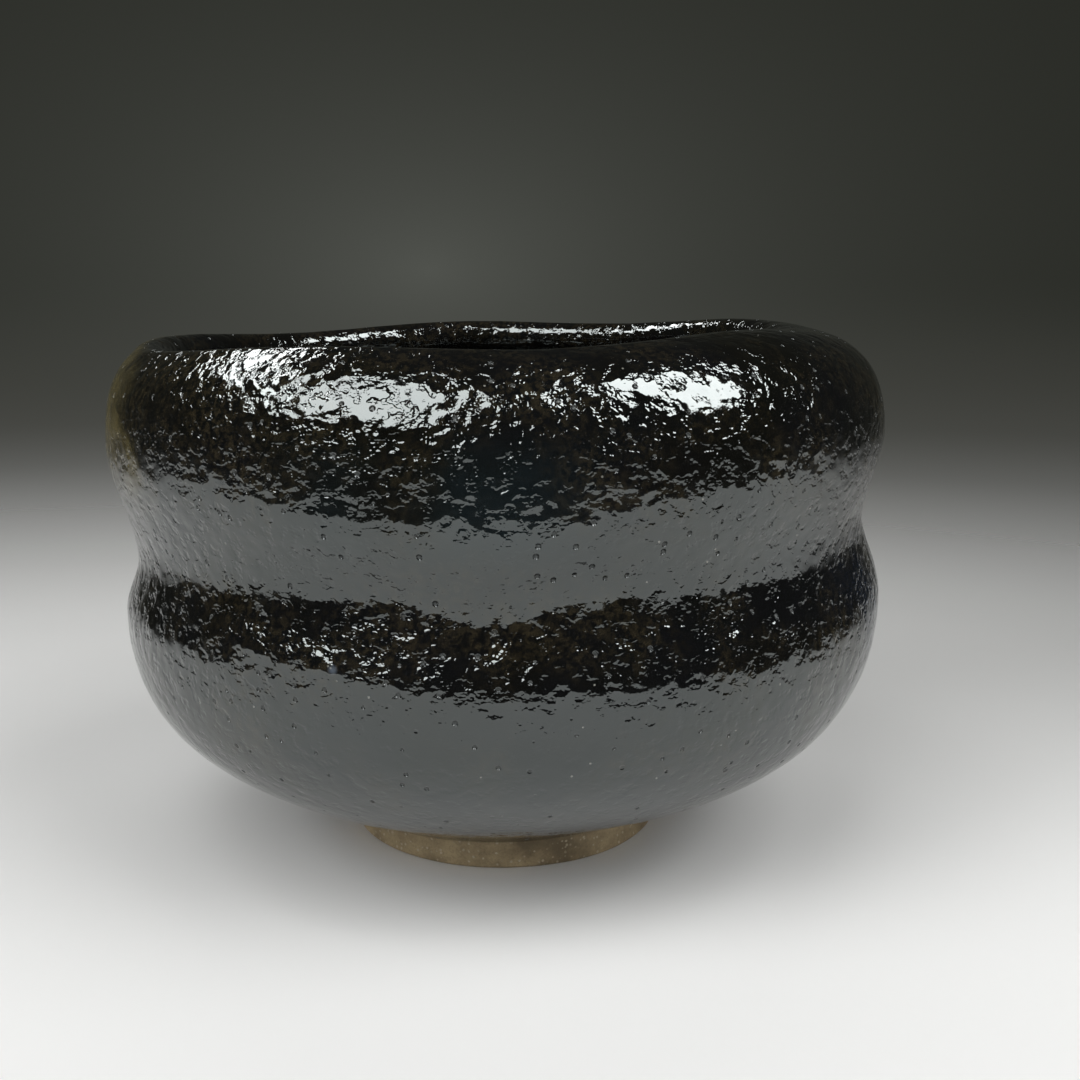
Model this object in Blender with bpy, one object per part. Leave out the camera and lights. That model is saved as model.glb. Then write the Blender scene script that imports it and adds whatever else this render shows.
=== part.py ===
"""Tea bowl: a waisted, hand-shaped stoneware bowl with a black glaze and a small bare foot ring.

Metres, +Z up, origin on the table under the middle of the bowl. The front faces -Y.
Every piece is a path in the half-plane at one angle, spun round the axis and then pushed
out of round, as the real bowl was. The glaze coats are the clay's own path moved outwards,
so they follow the clay whatever size is changed.
"""

import math

import bmesh
import bpy
from mathutils import Vector

MM = 0.001

# Clay body, before its glaze. The two overall sizes, and then three rings and the lip:
# how far each stands in from the widest ring, and how far below the top.
BOWL_RADIUS = 58.8 * MM  # widest ring, at the shoulder
BOWL_HEIGHT = 78.0 * MM  # to the top of the lip
SHOULDER_DROP = 14.0 * MM
WAIST_INSET = 3.2 * MM  # deepest ring of the groove
WAIST_DROP = 29.0 * MM
BELLY_INSET = 0.6 * MM  # widest ring below the waist
BELLY_DROP = 40.2 * MM
LIP_INSET = 10.0 * MM  # to the middle of the lip's thickness
LIP_THICKNESS = 4.2 * MM
LIP_SLOPE = math.radians(22)  # how steeply the wall still rises where it meets the lip

# The curves between them. A reach is a share of the distance that its curve crosses.
UNDERSIDE_SLOPE = math.radians(24)
UNDERSIDE_REACH = 0.43
BELLY_REACH = 0.42
SHOULDER_REACH = 0.69
BROW_REACH = 0.18

# How the hand left it off its round. Angles run anticlockwise from +X as seen from above.
# The mouth leans one way, so the wall stands steeper on that side and turns in more opposite.
MOUTH_LEAN = 4.2 * MM
MOUTH_LEAN_ANGLE = math.radians(170)
MOUTH_LEAN_SLOPE = math.radians(26)
MOUTH_TILT = 1.3 * MM  # one side of the lip is higher
MOUTH_TILT_ANGLE = math.radians(-20)
LIP_HILLS = 5  # low hills along the lip, as the potter cuts it by eye
LIP_HILL_HEIGHT = 0.5 * MM
LIP_HILL_ANGLE = math.radians(98)
# The shoulder sags in the middle of the front, where the pot was held.
SHOULDER_SAG = 5.8 * MM
SHOULDER_SAG_ANGLE = math.radians(-92)
SHOULDER_SAG_WIDTH = math.radians(28)
SHOULDER_TILT = 1.0 * MM
# The groove of the waist is level over the front and the back, and runs out uphill at +X.
WAIST_TILT = 3.5 * MM
WAIST_LEVELNESS = 5  # odd power: the higher, the longer the level stretch
WAIST_LEAN = 0.5 * MM
# Two strokes of the thumb met low in the front of it.
THUMB_DIP = 2.6 * MM
THUMB_ANGLE = math.radians(-92)
THUMB_WIDTH = math.radians(8)
# The belly is drawn up on one side.
BELLY_LEAN = 1.0 * MM
BELLY_RISE = 3.5 * MM
BELLY_RISE_ANGLE = math.radians(12)
BELLY_RISE_WIDTH = math.radians(40)
BELLY_SAG = 1.2 * MM
BELLY_SAG_ANGLE = math.radians(-60)
BELLY_SAG_WIDTH = math.radians(40)

WALL = 5.2 * MM
FLOOR = 5.5 * MM
POOL_RADIUS = 15.0 * MM  # shallow pool in the middle of the floor, for the last of the tea
POOL_DEPTH = 1.2 * MM
BOSS_RADIUS = 7.0 * MM  # small peak left in the middle of the underside
BOSS_HEIGHT = 1.0 * MM

# Foot ring, luted to the underside.
FOOT_RADIUS = 24.4 * MM  # outside, at the table
FOOT_FLARE = 0.5 * MM  # how much wider it is where it meets the body
FOOT_HEIGHT = 6.0 * MM
FOOT_WIDTH = 5.6 * MM
FOOT_EDGE = 0.6 * MM  # chamfer of the lower edges
FOOT_SHIFT = 0.9 * MM  # off the body's axis, towards +X

GLAZE = 0.8 * MM
GLAZE_MARGIN = 0.6 * MM  # least bare clay between the foot ring and the glaze line
GAP = 0.3 * MM  # between pieces that touch

SIDES = 48  # corners of every ring
BELLY_STEPS = 7
WAIST_STEPS = 4
SHOULDER_STEPS = 5
LIP_STEPS = 4
WELD = MM / 1000  # corners nearer than this are one
SHARP_ANGLE = math.radians(50)

CLAY_COLOUR = (0.33, 0.25, 0.16)
CLAY_ROUGHNESS = 0.85
GLAZE_COLOUR = (0.012, 0.011, 0.01)
GLAZE_ROUGHNESS = 0.12

SHOULDER_HEIGHT = BOWL_HEIGHT - SHOULDER_DROP
WAIST_RADIUS = BOWL_RADIUS - WAIST_INSET
WAIST_HEIGHT = BOWL_HEIGHT - WAIST_DROP
BELLY_RADIUS = BOWL_RADIUS - BELLY_INSET
BELLY_HEIGHT = BOWL_HEIGHT - BELLY_DROP
LIP_RADIUS = BOWL_RADIUS - LIP_INSET
SEAT_RADIUS = FOOT_RADIUS + FOOT_SHIFT + FOOT_FLARE + GLAZE_MARGIN
SEAT_HEIGHT = FOOT_HEIGHT + GAP
GLAZE_LINE_ROW = 3  # row of the clay's path that lies on the glaze line


def half_plane(radius, height):
    return Vector((radius, height))


def toward(angle, direction):
    """From 1 on the side that faces the direction to -1 on the far side."""
    return math.cos(angle - direction)


def swell(angle, middle, width):
    """A soft bump round the bowl, 1 at its middle."""
    return math.exp(-((math.remainder(angle - middle, math.tau) / width) ** 2))


def belly_at(angle):
    rise = BELLY_RISE * swell(angle, BELLY_RISE_ANGLE, BELLY_RISE_WIDTH)
    sag = BELLY_SAG * swell(angle, BELLY_SAG_ANGLE, BELLY_SAG_WIDTH)
    return half_plane(BELLY_RADIUS + BELLY_LEAN * toward(angle, 0), BELLY_HEIGHT + rise - sag)


def waist_at(angle):
    tilt = WAIST_TILT * toward(angle, 0) ** WAIST_LEVELNESS
    dip = THUMB_DIP * swell(angle, THUMB_ANGLE, THUMB_WIDTH)
    return half_plane(WAIST_RADIUS + WAIST_LEAN * toward(angle, 0), WAIST_HEIGHT + tilt - dip)


def shoulder_at(angle):
    tilt = SHOULDER_TILT * toward(angle, 0)
    sag = SHOULDER_SAG * swell(angle, SHOULDER_SAG_ANGLE, SHOULDER_SAG_WIDTH)
    return half_plane(BOWL_RADIUS, SHOULDER_HEIGHT + tilt - sag)


def lip_middle_at(angle):
    radius = LIP_RADIUS + MOUTH_LEAN * toward(angle, MOUTH_LEAN_ANGLE)
    tilt = MOUTH_TILT * toward(angle, MOUTH_TILT_ANGLE)
    hill = LIP_HILL_HEIGHT * math.cos(LIP_HILLS * (angle - LIP_HILL_ANGLE))
    return half_plane(radius, BOWL_HEIGHT + tilt + hill - LIP_THICKNESS / 2)


def wall_direction_at(angle):
    """The way up the wall, and the way out of its face, where it meets the lip."""
    slope = LIP_SLOPE + MOUTH_LEAN_SLOPE * toward(angle, MOUTH_LEAN_ANGLE)
    upwards = half_plane(-math.cos(slope), math.sin(slope))
    return upwards, half_plane(upwards.y, -upwards.x)


def bezier(start, leaving, arriving, end, steps):
    """From the start towards leaving, and from arriving to the end, without the start itself."""
    curve = []
    for step in range(1, steps + 1):
        s = step / steps
        weights = ((1 - s) ** 3, 3 * s * (1 - s) ** 2, 3 * s * s * (1 - s), s**3)
        handles = (start, leaving, arriving, end)
        curve.append(sum((h * w for h, w in zip(handles, weights)), half_plane(0, 0)))
    return curve


def easing_curve(start, end, steps):
    """Upright at both ends, without the start itself."""
    third = half_plane(0, (end.y - start.y) / 3)
    return bezier(start, start + third, end - third, end, steps)


def underside():
    """The flat of the underside, from the boss in its middle to the glaze line."""
    return [
        half_plane(0, SEAT_HEIGHT - BOSS_HEIGHT),
        half_plane(BOSS_RADIUS, SEAT_HEIGHT),
        half_plane(POOL_RADIUS, SEAT_HEIGHT),
        half_plane(SEAT_RADIUS, SEAT_HEIGHT),
    ]


def belly_curve(belly):
    seat = half_plane(SEAT_RADIUS, SEAT_HEIGHT)
    span = (belly - seat).length
    leaving = half_plane(math.cos(UNDERSIDE_SLOPE), math.sin(UNDERSIDE_SLOPE)) * span
    arriving = belly - half_plane(0, span * BELLY_REACH)
    return bezier(seat, seat + leaving * UNDERSIDE_REACH, arriving, belly, BELLY_STEPS)


def shoulder_curve(shoulder, end, upwards):
    span = (end - shoulder).length
    leaving = shoulder + half_plane(0, span * SHOULDER_REACH)
    return bezier(shoulder, leaving, end - upwards * span * BROW_REACH, end, SHOULDER_STEPS)


def outer_skin(angle):
    """The clay's outside, from the middle of the underside to the lip."""
    belly, waist, shoulder = belly_at(angle), waist_at(angle), shoulder_at(angle)
    upwards, outwards = wall_direction_at(angle)
    end = lip_middle_at(angle) + outwards * LIP_THICKNESS / 2
    return [
        *underside(),
        *belly_curve(belly),
        *easing_curve(belly, waist, WAIST_STEPS),
        *easing_curve(waist, shoulder, WAIST_STEPS),
        *shoulder_curve(shoulder, end, upwards),
    ]


def outward_at(path, row):
    """The unit normal on the right-hand side of the path, which is its outside."""
    before, after = path[max(row - 1, 0)], path[min(row + 1, len(path) - 1)]
    along = (after - before).normalized()
    return half_plane(along.y, -along.x)


def thickness_at(row, rows):
    """Floor, then wall, then a last stretch that thins to the lip."""
    above_line = row - GLAZE_LINE_ROW
    if above_line <= 0:
        return FLOOR
    if above_line < BELLY_STEPS:
        return FLOOR + (WALL - FLOOR) * above_line / BELLY_STEPS
    to_lip = max(0, row - (rows - 1 - SHOULDER_STEPS)) / SHOULDER_STEPS
    return WALL + (LIP_THICKNESS - WALL) * to_lip


def clay_path(angle):
    """All round the clay: underside, outside, lip, inside and floor."""
    outside = outer_skin(angle)
    rows = len(outside)
    inside = []
    for row, point in enumerate(outside):
        level = row <= GLAZE_LINE_ROW
        outwards = half_plane(0, -1) if level else outward_at(outside, row)
        inside.append(point - outwards * thickness_at(row, rows))
    upwards, outwards = wall_direction_at(angle)
    middle = lip_middle_at(angle)
    inside[-1] = middle - outwards * LIP_THICKNESS / 2
    for point in inside[: GLAZE_LINE_ROW + 1]:
        share = max(0.0, 1 - (point.x / POOL_RADIUS) ** 2)
        point.y = SEAT_HEIGHT + FLOOR - POOL_DEPTH * share
    turns = [math.pi * step / LIP_STEPS for step in range(1, LIP_STEPS)]
    lip = [middle + (outwards * math.cos(t) + upwards * math.sin(t)) * LIP_THICKNESS / 2 for t in turns]
    return outside + lip + inside[::-1]


def moved_out(path, distance, first, last):
    """The stretch of the path from row first to row last, moved outwards."""
    moved = [path[row] + outward_at(path, row) * distance for row in range(first, last + 1)]
    if last == len(path) - 1:
        moved[-1] = path[-1] + half_plane(0, distance)
    return moved


def coat_faces(angle, first, last):
    """Both faces of a coat of glaze that covers the clay's path from row first to row last."""
    path = clay_path(angle)
    return moved_out(path, GAP, first, last), moved_out(path, GAP + GLAZE, first, last)


def seam_row():
    """The row at the top of the lip, where the two coats meet."""
    return len(outer_skin(0.0)) + LIP_STEPS // 2 - 1


def draw_back(face, end, towards):
    """Moves one end of a coat's face back along itself by half the gap at the seam."""
    along = (face[towards] - face[end]).normalized()
    face[end] = face[end] + along * GAP / 2


def outside_coat_path(angle):
    against_clay, surface = coat_faces(angle, GLAZE_LINE_ROW, seam_row())
    for face in (against_clay, surface):
        draw_back(face, -1, -2)
    return surface + against_clay[::-1]


def inside_coat_path(angle):
    last = len(clay_path(angle)) - 1
    against_clay, surface = coat_faces(angle, seam_row(), last)
    for face in (against_clay, surface):
        draw_back(face, 0, 1)
    return against_clay[::-1] + surface


def foot_path(angle):
    outer = FOOT_RADIUS + FOOT_SHIFT * math.cos(angle)
    inner = outer - FOOT_WIDTH
    return [
        half_plane(inner + FOOT_EDGE, 0),
        half_plane(outer - FOOT_EDGE, 0),
        half_plane(outer, FOOT_EDGE),
        half_plane(outer + FOOT_FLARE, FOOT_HEIGHT),
        half_plane(inner - FOOT_FLARE, FOOT_HEIGHT),
        half_plane(inner, FOOT_EDGE),
    ]


def spun(name, path_at, closed, material):
    """Spins the path at angle 0 and then moves every corner to the path at its own angle."""
    mesh = bpy.data.meshes.new(name)
    bm = bmesh.new()
    row_of = bm.verts.layers.int.new("row")
    corners = []
    for row, point in enumerate(path_at(0.0)):
        corners.append(bm.verts.new((point.x, 0, point.y)))
        corners[-1][row_of] = row
    pairs = list(zip(corners, corners[1:] + corners[:1] * closed))
    edges = [bm.edges.new(pair) for pair in pairs]
    bmesh.ops.spin(
        bm, geom=corners + edges, cent=(0, 0, 0), axis=(0, 0, 1), angle=math.tau, steps=SIDES, use_merge=True
    )
    bmesh.ops.remove_doubles(bm, verts=bm.verts, dist=WELD)
    paths = [path_at(side * math.tau / SIDES) for side in range(SIDES)]
    for corner in bm.verts:
        side = round(math.atan2(corner.co.y, corner.co.x) / math.tau * SIDES) % SIDES
        point = paths[side][corner[row_of]]
        angle = side * math.tau / SIDES
        corner.co = (point.x * math.cos(angle), point.x * math.sin(angle), point.y)
    bmesh.ops.recalc_face_normals(bm, faces=bm.faces)
    bm.to_mesh(mesh)
    bm.free()
    mesh.shade_smooth()
    mesh.set_sharp_from_angle(angle=SHARP_ANGLE)
    mesh.materials.append(material)
    piece = bpy.data.objects.new(name, mesh)
    bpy.context.scene.collection.objects.link(piece)
    return piece


def principled(name, colour, roughness):
    material = bpy.data.materials.new(name)
    material.use_nodes = True
    shader = material.node_tree.nodes["Principled BSDF"]
    shader.inputs["Base Color"].default_value = (*colour, 1)
    shader.inputs["Roughness"].default_value = roughness
    shader.inputs["Metallic"].default_value = 0
    return material


def centre_on_origin(pieces):
    """Slides the bowl over the table until its box is centred on the origin."""
    places = [corner.co for piece in pieces for corner in piece.data.vertices]
    middle = Vector([(min(p[k] for p in places) + max(p[k] for p in places)) / 2 for k in (0, 1)] + [0])
    for piece in pieces:
        piece.location = -middle


def main():
    for old in list(bpy.data.objects):
        bpy.data.objects.remove(old)
    bare_clay = principled("bare_clay", CLAY_COLOUR, CLAY_ROUGHNESS)
    foot_clay = principled("foot_clay", CLAY_COLOUR, CLAY_ROUGHNESS)
    outside_glaze = principled("outside_glaze", GLAZE_COLOUR, GLAZE_ROUGHNESS)
    inside_glaze = principled("inside_glaze", GLAZE_COLOUR, GLAZE_ROUGHNESS)
    pieces = [
        spun("clay_body", clay_path, False, bare_clay),
        spun("foot_ring", foot_path, True, foot_clay),
        spun("glaze_outside", outside_coat_path, True, outside_glaze),
        spun("glaze_inside", inside_coat_path, False, inside_glaze),
    ]
    centre_on_origin(pieces)


main()
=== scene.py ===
"""Tea bowl: the finished surfaces of a waisted, hand-shaped bowl for whisked tea.

A thick black glaze covers the clay inside and out, down to a line just above a bare foot ring.
Each piece is a line in the half-plane, drawn anew at every angle round the axis, so that the lean,
the sags and the marks of the hand are in the line itself. Metres, +Z up, front at -Y.
"""

import math

import bmesh
import bpy
from bpy.props import (
    FloatProperty,
    FloatVectorProperty,
    IntProperty,
    PointerProperty,
    StringProperty,
)
from bpy.types import Operator, Panel, PropertyGroup
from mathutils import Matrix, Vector, noise


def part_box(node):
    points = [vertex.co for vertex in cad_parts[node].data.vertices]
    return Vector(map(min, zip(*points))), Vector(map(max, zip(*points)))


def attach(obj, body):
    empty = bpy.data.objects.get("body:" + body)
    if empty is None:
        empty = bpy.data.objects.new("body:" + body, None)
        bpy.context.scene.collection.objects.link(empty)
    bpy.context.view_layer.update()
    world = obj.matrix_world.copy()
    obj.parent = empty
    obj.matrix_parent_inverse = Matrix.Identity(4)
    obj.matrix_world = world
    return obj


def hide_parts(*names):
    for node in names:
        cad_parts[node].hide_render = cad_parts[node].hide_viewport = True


bl_info = {
    "name": "Tea Bowl",
    "version": (1, 0, 0),
    "blender": (4, 5, 0),
    "location": "3D View > Sidebar > Tea Bowl",
    "description": "Builds the glaze, the clay, the foot ring and the stage of a black tea bowl",
    "category": "Add Mesh",
}

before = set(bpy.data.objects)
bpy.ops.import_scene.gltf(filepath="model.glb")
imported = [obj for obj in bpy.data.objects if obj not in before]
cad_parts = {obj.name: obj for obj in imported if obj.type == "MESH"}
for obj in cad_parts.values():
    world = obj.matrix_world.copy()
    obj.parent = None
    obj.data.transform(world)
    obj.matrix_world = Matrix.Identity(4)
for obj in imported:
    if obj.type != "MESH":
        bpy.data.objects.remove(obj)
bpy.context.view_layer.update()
FOOT_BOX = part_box("foot_ring")

MM = 0.001
UP = Vector((0, 0, 1))
WELD = MM / 1000


# ---------------------------------------------------------------- sizes and colours


def length(name, description, millimetres):
    return FloatProperty(
        name=name,
        description=description,
        default=millimetres * MM,
        precision=5,
        subtype="DISTANCE",
        unit="LENGTH",
    )


def angle_property(name, description, degrees):
    return FloatProperty(
        name=name,
        description=description,
        default=math.radians(degrees),
        subtype="ANGLE",
        unit="ROTATION",
    )


def share(name, description, default):
    return number(name, description, default, min=0, max=1, subtype="FACTOR")


def number(name, description, default, **details):
    return FloatProperty(name=name, description=description, default=default, **details)


def count(name, description, default, **limits):
    return IntProperty(name=name, description=description, default=default, **limits)


def colour(name, description, default):
    return FloatVectorProperty(
        name=name,
        description=description,
        default=default,
        min=0,
        max=1,
        size=3,
        subtype="COLOR",
    )


class TeaBowlForm(PropertyGroup):
    """The clay before its glaze. Angles run anticlockwise from +X as seen from above."""

    bowl_radius: length("Bowl Radius", "Widest ring, at the shoulder", 58.8)
    bowl_height: length("Bowl Height", "To the top of the lip", 78.0)
    shoulder_drop: length("Shoulder Drop", "From the top down to the widest ring", 14.0)
    waist_inset: length("Waist Inset", "How far the groove stands in from the widest ring", 3.2)
    waist_drop: length("Waist Drop", "From the top down to the groove", 29.0)
    belly_inset: length("Belly Inset", "How far the belly stands in from the widest ring", 0.6)
    belly_drop: length("Belly Drop", "From the top down to the belly", 40.2)
    lip_inset: length("Lip Inset", "From the widest ring in to the middle of the lip", 10.0)
    lip_thickness: length("Lip Thickness", "Across the rounded lip", 4.2)
    lip_slope: angle_property("Lip Slope", "How steeply the wall rises where it meets the lip", 22)
    mouth_lean: length("Mouth Lean", "How far the mouth leans to one side", 4.2)
    mouth_lean_angle: angle_property("Mouth Lean Angle", "The side that it leans to", 170)
    mouth_lean_slope: angle_property("Mouth Lean Slope", "How much steeper the wall is there", 26)
    mouth_tilt: length("Mouth Tilt", "How much higher the lip is on one side", 1.3)
    mouth_tilt_angle: angle_property("Mouth Tilt Angle", "The side where the lip is highest", -20)
    lip_hills: count("Lip Hills", "Low hills along the lip", 5, min=0, max=9)
    lip_hill_height: length("Lip Hill Height", "Height of each hill", 0.5)
    lip_hill_angle: angle_property("Lip Hill Angle", "Where one of the hills is", 98)
    shoulder_tilt: length("Shoulder Tilt", "How much higher the shoulder is at +X", 1.0)
    shoulder_sag: length("Shoulder Sag", "How far the shoulder sags where the pot was held", 5.8)
    shoulder_sag_angle: angle_property("Shoulder Sag Angle", "Where it sags", -92)
    shoulder_sag_width: angle_property("Shoulder Sag Width", "Half of the sag's width", 28)
    waist_tilt: length("Waist Tilt", "How far the groove runs uphill at +X", 3.5)
    waist_levelness: count("Waist Levelness", "Odd power; higher keeps it level longer", 5, min=1)
    waist_lean: length("Waist Lean", "How far the waist leans to +X", 0.5)
    thumb_dip: length("Thumb Dip", "How far the groove dips between two strokes of the thumb", 2.6)
    thumb_angle: angle_property("Thumb Angle", "Where the strokes met", -92)
    thumb_width: angle_property("Thumb Width", "Half of the dip's width", 8)
    belly_lean: length("Belly Lean", "How far the belly leans to +X", 1.0)
    belly_rise: length("Belly Rise", "How far the belly is drawn up on one side", 3.5)
    belly_rise_angle: angle_property("Belly Rise Angle", "The side where it is drawn up", 12)
    belly_rise_width: angle_property("Belly Rise Width", "Half of the rise's width", 40)
    belly_sag: length("Belly Sag", "How far the belly sags beside it", 1.2)
    belly_sag_angle: angle_property("Belly Sag Angle", "Where it sags", -60)
    belly_sag_width: angle_property("Belly Sag Width", "Half of the sag's width", 40)
    underside_slope: angle_property("Underside Slope", "Slope where the body leaves the foot", 24)
    underside_reach: share("Underside Reach", "How far that slope is felt towards the belly", 0.43)
    belly_reach: share("Belly Reach", "How far the upright belly is felt towards the foot", 0.42)
    shoulder_reach: share("Shoulder Reach", "How far the shoulder is felt towards the lip", 0.69)
    brow_reach: share("Brow Reach", "How far the lip's slope is felt towards the shoulder", 0.18)
    wall: length("Wall", "Thickness of the clay wall", 5.2)
    floor: length("Floor", "Thickness of the clay floor", 5.5)
    pool_radius: length("Pool Radius", "Shallow pool in the middle of the floor", 15.0)
    pool_depth: length("Pool Depth", "Depth of that pool", 1.2)
    boss_radius: length("Boss Radius", "Small peak left in the middle of the underside", 7.0)
    boss_height: length("Boss Height", "Height of that peak", 1.0)
    foot_radius: length("Foot Radius", "Outside of the foot ring at the table", 24.4)
    foot_flare: length("Foot Flare", "How much wider the foot is at its top", 0.5)
    foot_height: length("Foot Height", "Height of the foot ring", 6.0)
    foot_width: length("Foot Width", "Width of the foot ring's face", 5.6)
    foot_edge: length("Foot Edge", "Rounding of the foot ring's lower edges", 0.6)
    foot_shift: length("Foot Shift", "How far the foot sits off the axis, towards +X", 0.9)
    glaze: length("Glaze", "Thickness of the glaze", 0.8)
    glaze_margin: length("Glaze Margin", "Bare clay between the foot ring and the glaze", 0.6)
    gap: length("Gap", "Between pieces that touch", 0.3)


class TeaBowlFinish(PropertyGroup):
    """Colours and relief of the glaze and of the bare clay."""

    glaze_black: colour("Glaze Black", "Where the glaze is thick", (0.0035, 0.0032, 0.0028))
    glaze_brown: colour("Glaze Brown", "Where iron shows through", (0.024, 0.019, 0.0105))
    glaze_blue: colour("Glaze Blue", "Where the glaze pooled thickest", (0.003, 0.005, 0.012))
    glaze_teal: colour("Glaze Teal", "Pooled at the shoulder's front", (0.0065, 0.0105, 0.0115))
    # This olive is a painted reflection on the outside of the left shoulder, not glaze that ran
    # thin.
    painted_olive_reflection: colour("Glaze Olive", "Where it ran thin over the shoulder", (0.135, 0.110, 0.046))
    glaze_sheen: colour("Glaze Sheen", "Cool tint of what the glaze mirrors", (0.93, 1.0, 0.99))
    bubble_colour: colour("Bubble Colour", "Milky bubbles under the surface", (0.20, 0.24, 0.30))
    dust_colour: colour("Dust Colour", "Pale specks in the glaze", (0.34, 0.34, 0.30))
    glaze_roughness: share("Glaze Roughness", "Roughness of the fired glaze", 0.045)
    glaze_ior: number("Glaze IOR", "Refractive index of the lead-bright glaze", 1.9, min=1)
    hand_wave: length("Hand Wave", "Height of the soft waves that the hand left", 0.20)
    hand_wave_size: length("Hand Wave Size", "From one wave to the next", 17.0)
    swell: length("Swell", "Depth of the shorter waves", 0.10)
    swell_size: length("Swell Size", "From one of them to the next", 5.0)
    ridge: length("Ridge", "Height of the ridge that the thumb left beside the dip", 0.40)
    ridge_angle: angle_property("Ridge Angle", "Where it is highest", -114)
    ridge_reach: angle_property("Ridge Reach", "Half of its length", 16)
    ridge_height: length("Ridge Height", "Its height above the table there", 41.0)
    ridge_fall: length("Ridge Fall", "How far it falls over that half", 2.2)
    ridge_width: length("Ridge Width", "Half of its width", 1.7)
    dent: length("Dent", "Depth of the dents in the glaze's orange peel", 0.17)
    dent_size: length("Dent Size", "From one dent to the next", 1.8)
    dimple: length("Dimple", "Depth of the soft dimples", 0.33)
    dimple_size: length("Dimple Size", "From one dimple to the next", 2.9)
    peel: length("Peel", "Depth of the fine peel", 0.016)
    peel_size: length("Peel Size", "From one bump of the fine peel to the next", 0.55)
    pit: length("Pit", "Depth of the pin holes", 0.40)
    pit_size: length("Pit Size", "From one pin hole to the next", 2.3)
    clay_colour: colour("Clay Colour", "Fired clay", (0.48, 0.375, 0.225))
    clay_dark: colour("Clay Dark", "Smoked clay", (0.17, 0.13, 0.078))
    clay_speck: colour("Clay Speck", "Sand in the clay", (0.62, 0.54, 0.40))
    clay_roughness: share("Clay Roughness", "Roughness of the bare clay", 0.88)
    grain: length("Grain", "Relief of the clay's sand", 0.12)
    grain_size: length("Grain Size", "From one grain of sand to the next", 0.7)


class TeaBowlStage(PropertyGroup):
    """Floor, room and lights."""

    floor_colour: colour("Floor Colour", "Pale table near the bowl", (0.86, 0.86, 0.85))
    far_colour: colour("Far Colour", "The table far from the light", (0.070, 0.070, 0.062))
    room_colour: colour("Room Colour", "The unlit room", (0.017, 0.018, 0.014))
    glow_colour: colour("Glow Colour", "The light low behind the bowl", (0.080, 0.084, 0.074))
    glow_width: number("Glow Width", "Angle over which it fades", 0.14, subtype="ANGLE")
    front_edge: length("Front Edge", "From the middle of the table to the pale sheet's edge", 400)
    camera_distance: length("Camera Distance", "From the bowl's axis, over the floor", 213.4)
    camera_height: length("Camera Height", "Above the floor", 88.1)
    camera_pan: angle_property("Camera Pan", "Turned right of the axis", 1.78)
    camera_dip: angle_property("Camera Dip", "Turned below the horizon", 11.31)
    camera_lens: number("Camera Lens", "Focal length", 45, unit="CAMERA")
    left_window: number("Left Window", "Brightness of the left window", 6.2)
    right_window: number("Right Window", "Brightness of the right window", 9.0)
    side_window: number("Side Window", "Brightness of the long window at the left", 9.0)
    fill: number("Fill", "Brightness of the soft fills that nothing mirrors", 2.7)


# ---------------------------------------------------------------- the bowl's lines


def half_plane(radius, height):
    return Vector((radius, height))


def toward(angle, direction):
    """From 1 on the side that faces the direction to -1 on the far side."""
    return math.cos(angle - direction)


def hump(angle, middle, width):
    """A soft bump round the bowl, 1 at its middle."""
    return math.exp(-((math.remainder(angle - middle, math.tau) / width) ** 2))


def smooth(value, low, high):
    place = min(1.0, max(0.0, (value - low) / (high - low)))
    return place * place * (3 - 2 * place)


def bezier(start, leaving, arriving, end, steps):
    """From the start towards leaving, and from arriving to the end, without the start itself."""
    curve = []
    for step in range(1, steps + 1):
        s = step / steps
        weights = ((1 - s) ** 3, 3 * s * (1 - s) ** 2, 3 * s * s * (1 - s), s**3)
        handles = (start, leaving, arriving, end)
        curve.append(sum((h * w for h, w in zip(handles, weights)), half_plane(0, 0)))
    return curve


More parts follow.
